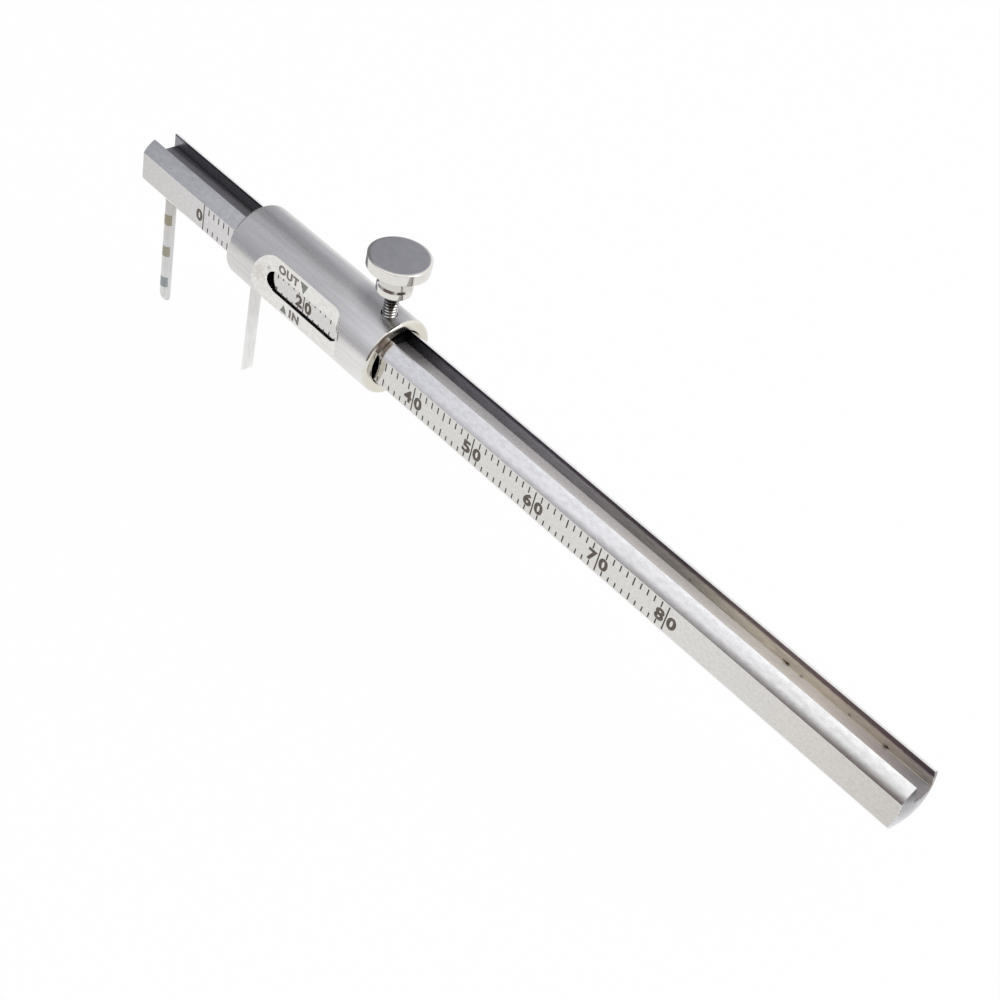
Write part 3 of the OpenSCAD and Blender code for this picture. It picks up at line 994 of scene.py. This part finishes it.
def letter(body, centre, size, look):  # stands upright and faces -Y
    bpy.ops.object.select_all(action="DESELECT")
    bpy.ops.object.text_add(location=(0, 0, 0))
    word = bpy.context.object
    word.data.body = body
    word.data.size = 1.0
    word.data.space_character = look["spacing"]
    word.data.bevel_depth = look["bold"]  # fattens the strokes and gives them their height
    word.data.bevel_resolution = 0
    word.data.resolution_u = look["curveSteps"]
    bpy.ops.object.convert(target="MESH")
    word = bpy.context.object
    low = [min(point.co[axis] for point in word.data.vertices) for axis in range(3)]
    high = [max(point.co[axis] for point in word.data.vertices) for axis in range(3)]
    foot = Vector(((low[0] + high[0]) / 2, (low[1] + high[1]) / 2, low[2]))
    newSize = (*size, look["thickness"])
    sizes = [new / (top - bottom) for new, top, bottom in zip(newSize, high, low)]
    fit = Matrix.Diagonal((*sizes, 1)) @ Matrix.Translation(-foot)
    word.data.transform(Matrix.Translation(centre) @ Matrix.Rotation(math.pi / 2, 4, "X") @ fit)
    return word


def buildFigures(look, finish, flatY):
    words = []
    off = look["figureOff"]

    def put(body, x):
        width = look["oneWidth"] if body == "1" else look["figureWidth"]
        words.append(letter(body, (x, flatY, look["figureZ"]), (width, look["figureHeight"]), look))

    put("0", look["zeroX"] - off)
    for ten in range(1, look["topMillimetre"] // 10 + 1):
        lineX = look["zeroX"] + 10 * ten * mm
        put(str(ten), lineX - off)
        put("0", lineX + off)
    dress(joinUp("scaleFigures", words), finish, "bar")


troughMarks = {
    "words": [
        {"word": "OUT", "centre": (30.1 * mm, 2.42 * mm), "size": (3.75 * mm, 1.26 * mm)},
        {"word": "IN", "centre": (31.95 * mm, -2.68 * mm), "size": (1.9 * mm, 1.24 * mm)},
    ],
    "style": {"bold": 0.056, "spacing": 1.17},
    "pointers": [
        {"centre": (32.98 * mm, 2.35 * mm), "size": (1.45 * mm, 1.55 * mm), "way": -1},
        {"centre": (29.95 * mm, -2.73 * mm), "size": (1.25 * mm, 1.17 * mm), "way": 1},
    ],
}


def buildTroughMarks(marks, look, wordFinish, pointerFinish):
    words = []
    wordLook = dict(look, **marks["style"])
    for mark in marks["words"]:
        x, z = mark["centre"]
        words.append(letter(mark["word"], (x, troughY, z), mark["size"], wordLook))
    dress(joinUp("troughWords", words), wordFinish, "slider")
    pointers = []
    for mark in marks["pointers"]:
        x, z = mark["centre"]
        width, height = mark["size"]
        bpy.ops.object.select_all(action="DESELECT")
        bpy.ops.mesh.primitive_circle_add(vertices=3, radius=1, fill_type="NGON", location=(0, 0, 0))
        pointer = bpy.context.object
        corners = ((0, 0.5), (-0.5, -0.5), (0.5, -0.5))  # the tip first, in shares of the size
        for point, (across, up) in zip(pointer.data.vertices, corners):
            point.co = (x + across * width, troughY, z + mark["way"] * up * height)
        makeActive(pointer)
        bpy.ops.object.mode_set(mode="EDIT")
        bpy.ops.mesh.select_all(action="SELECT")
        bpy.ops.mesh.extrude_region_move(TRANSFORM_OT_translate={"value": (0, -look["thickness"], 0)})
        closeUp(pointer, weldReach)
        pointers.append(pointer)
    dress(joinUp("troughPointers", pointers), pointerFinish, "slider")


bandLook = {
    "sides": 64,
    "height": 1.65 * mm,
    "pitch": 5.14 * mm,
    "lowestZ": -18.22 * mm,
    "halfAngle": 75,
    "smoothAngle": 30,
    "proud": 0.006 * mm,
    "metal": 0.3,
    "roughness": 0.5,
    "tones": [(0.41, 0.45, 0.47), (0.46, 0.43, 0.34), (0.43, 0.40, 0.30)],  # one for each band, lowest first
}


def bandFinish(look):
    finish, tree, base = markFinish("pin bands", look)
    stops = [(look["lowestZ"] + step * look["pitch"], tone) for step, tone in enumerate(look["tones"])]
    tree.links.new(shadedAlong(tree, {"way": (0, 0, 1), "stops": stops}), base)
    return finish


def buildPinBands(look):
    low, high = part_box("fixed_jaw")
    middleX = (low.x + high.x) / 2
    radius = (high.x - low.x) / 2 + look["proud"]
    bottom = look["lowestZ"] - look["height"] / 2
    top = bottom + look["height"]
    band = addRound("pinBands", look["sides"], radius, (middleX, 0, bottom), (middleX, 0, top))
    widest = math.cos(math.radians(look["halfAngle"]))
    pickFaces(band, lambda face: abs(face.normal.z) > partly or -face.normal.y < widest)
    bpy.ops.mesh.delete(type="FACE")
    bpy.ops.object.mode_set(mode="OBJECT")
    thick = band.modifiers.new("thick", "SOLIDIFY")
    thick.thickness = look["proud"] * 2
    thick.offset = -1
    bpy.ops.object.modifier_apply(modifier=thick.name)
    repeatAlong(band, len(look["tones"]), (0, 0, look["pitch"]))
    smoothOver(band, look["smoothAngle"])
    dress(band, bandFinish(look), "bar")


lineFinish = laserFinish("laser lines", markLook["line"], markLook)
figureFinish = laserFinish("laser figures", markLook["figure"], markLook)
wordFinish = laserFinish("laser words", markLook["word"], markLook)
pointerFinish = laserFinish("laser pointers", markLook["pointer"], markLook)
flatFaceY = buildScaleLines(markLook, lineFinish)
buildFigures(markLook, figureFinish, flatFaceY)
buildTroughMarks(troughMarks, markLook, wordFinish, pointerFinish)
buildPinBands(bandLook)
print("marks done")


# studio: white floor, a sky that is bright over the tail and darker over the head, a lamp, and the camera

studioLook = {
    "floorSize": 0.6,
    "floorMiddle": (0.06, 0.165),
    "floorWhite": (0.94, 0.94, 0.94),
    "whiteShare": 0.97,
    "headLight": 0.42,
    "tailLight": 1.10,
    "lightSpan": (-0.70, -0.40),
    "tintSpan": (-0.70, 0.0),
    "headTint": (0.93, 0.94, 1.04),
    "tailTint": (1.0, 0.99, 0.975),
    "shades": [
        {"way": (0.20, -0.98, 0.00), "tone": (0.17, 0.14, 0.13), "edge": 0.66, "core": 0.90},
        {"way": (-0.88, 0.28, 0.39), "tone": (0.68, 0.68, 0.68), "edge": 0.75, "core": 0.97},
        {"way": (0.55, -0.50, 0.67), "tone": (0.30, 0.235, 0.21), "edge": 0.86, "core": 0.97},
        {"way": (0.95, -0.02, 0.25), "tone": (0.10, 0.08, 0.08), "edge": 0.84, "core": 0.95},
        {"way": (-0.55, 0.42, 0.72), "tone": (0.68, 0.68, 0.69), "edge": 0.93, "core": 0.99},
        {"way": (-0.50, -0.80, -0.30), "tone": (0.82, 0.82, 0.84), "edge": 0.88, "core": 0.98},
        {"way": (0.00, -0.10, 0.99), "tone": (1.22, 1.22, 1.22), "edge": 0.88, "core": 0.99},
    ],
    "boxPlace": (0.35, 0.15, 0.4),
    "boxSize": 0.3,
    "boxWatts": 0.5,
}


def seenRays(tree):  # 1 for what the camera sees, straight or in metal and glass
    path = tree.nodes.new("ShaderNodeLightPath")
    straight = combine(tree, "MAXIMUM", path.outputs["Is Camera Ray"], path.outputs["Is Glossy Ray"])
    return combine(tree, "MAXIMUM", straight, path.outputs["Is Transmission Ray"])


def buildFloor(look):
    bpy.ops.object.select_all(action="DESELECT")
    place = (*look["floorMiddle"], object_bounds()[0].z)
    bpy.ops.mesh.primitive_plane_add(size=look["floorSize"], location=place)
    floor = nameNew("floor")
    finish, tree, shader = newFinish("floor white")
    tree.nodes.remove(shader)
    paper = tree.nodes.new("ShaderNodeBsdfDiffuse")
    paper.inputs["Color"].default_value = (*look["floorWhite"], 1)
    glow = tree.nodes.new("ShaderNodeEmission")
    share = tree.nodes.new("ShaderNodeMath")
    share.operation = "MULTIPLY"
    share.inputs[1].default_value = look["whiteShare"]
    mix = tree.nodes.new("ShaderNodeMixShader")
    tree.links.new(seenRays(tree), share.inputs[0])
    tree.links.new(share.outputs[0], mix.inputs["Fac"])
    tree.links.new(paper.outputs["BSDF"], mix.inputs[1])
    tree.links.new(glow.outputs["Emission"], mix.inputs[2])
    tree.links.new(mix.outputs["Shader"], tree.nodes["Material Output"].inputs["Surface"])
    floor.data.materials.append(finish)
    floor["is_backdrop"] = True


def buildSky(look):
    world = bpy.data.worlds.new("studio")
    scene.world = world
    world.use_nodes = True
    tree = world.node_tree
    back = tree.nodes["Background"]
    way = tree.nodes.new("ShaderNodeTexCoord").outputs["Generated"]
    parts = tree.nodes.new("ShaderNodeSeparateXYZ")
    tree.links.new(way, parts.inputs["Vector"])
    share = spread(tree, parts.outputs["X"], 0.0, 1.0, look["tintSpan"])
    tone = ramp(tree, share, [(0.0, look["headTint"]), (1.0, look["tailTint"])])
    light = spread(tree, parts.outputs["X"], look["headLight"], look["tailLight"], look["lightSpan"])
    tone = dimmed(tree, tone, light)
    for shade in look["shades"]:
        towards = distanceAlong(tree, way, Vector(shade["way"]).normalized())
        dark = spread(tree, towards, 0.0, 1.0, (shade["edge"], shade["core"]))
        tone = tinted(tree, tone, ramp(tree, dark, [(0.0, (1, 1, 1)), (1.0, shade["tone"])]))
    path = tree.nodes.new("ShaderNodeLightPath")
    white = tree.nodes.new("ShaderNodeMix")
    white.data_type = "RGBA"
    white.inputs["B"].default_value = (1, 1, 1, 1)
    tree.links.new(path.outputs["Is Camera Ray"], white.inputs["Factor"])
    tree.links.new(tone, white.inputs["A"])
    tree.links.new(white.outputs["Result"], back.inputs["Color"])


def buildLamp(look):
    bpy.ops.object.select_all(action="DESELECT")
    bpy.ops.object.light_add(type="AREA", location=look["boxPlace"])
    box = bpy.context.object
    box.name = "softbox"
    box.data.shape = "DISK"
    box.data.size = look["boxSize"]
    box.data.energy = look["boxWatts"]
    target = (Vector(cadBox[0]) + Vector(cadBox[1])) / 2
    box.rotation_euler = (target - box.location).to_track_quat("-Z", "Y").to_euler()


cameraLook = {
    "lens": 55.42,
    "sensor": 36.0,
    "clipStart": 5 * mm,
    "place": (140.503 * mm, -107.759 * mm, 114.899 * mm),
    "turn": (45.887, -11.750, 45.683),
}


def buildCamera(look):
    data = bpy.data.cameras.new("photo camera")
    data.lens = look["lens"]
    data.sensor_width = look["sensor"]
    data.clip_start = look["clipStart"]
    camera = bpy.data.objects.new("photo camera", data)
    scene.collection.objects.link(camera)
    turn = Euler([math.radians(angle) for angle in look["turn"]])
    camera.matrix_world = Matrix.Translation(look["place"]) @ turn.to_matrix().to_4x4()
    scene.camera = camera


buildFloor(studioLook)
buildSky(studioLook)
buildLamp(studioLook)
buildCamera(cameraLook)
print("studio done")
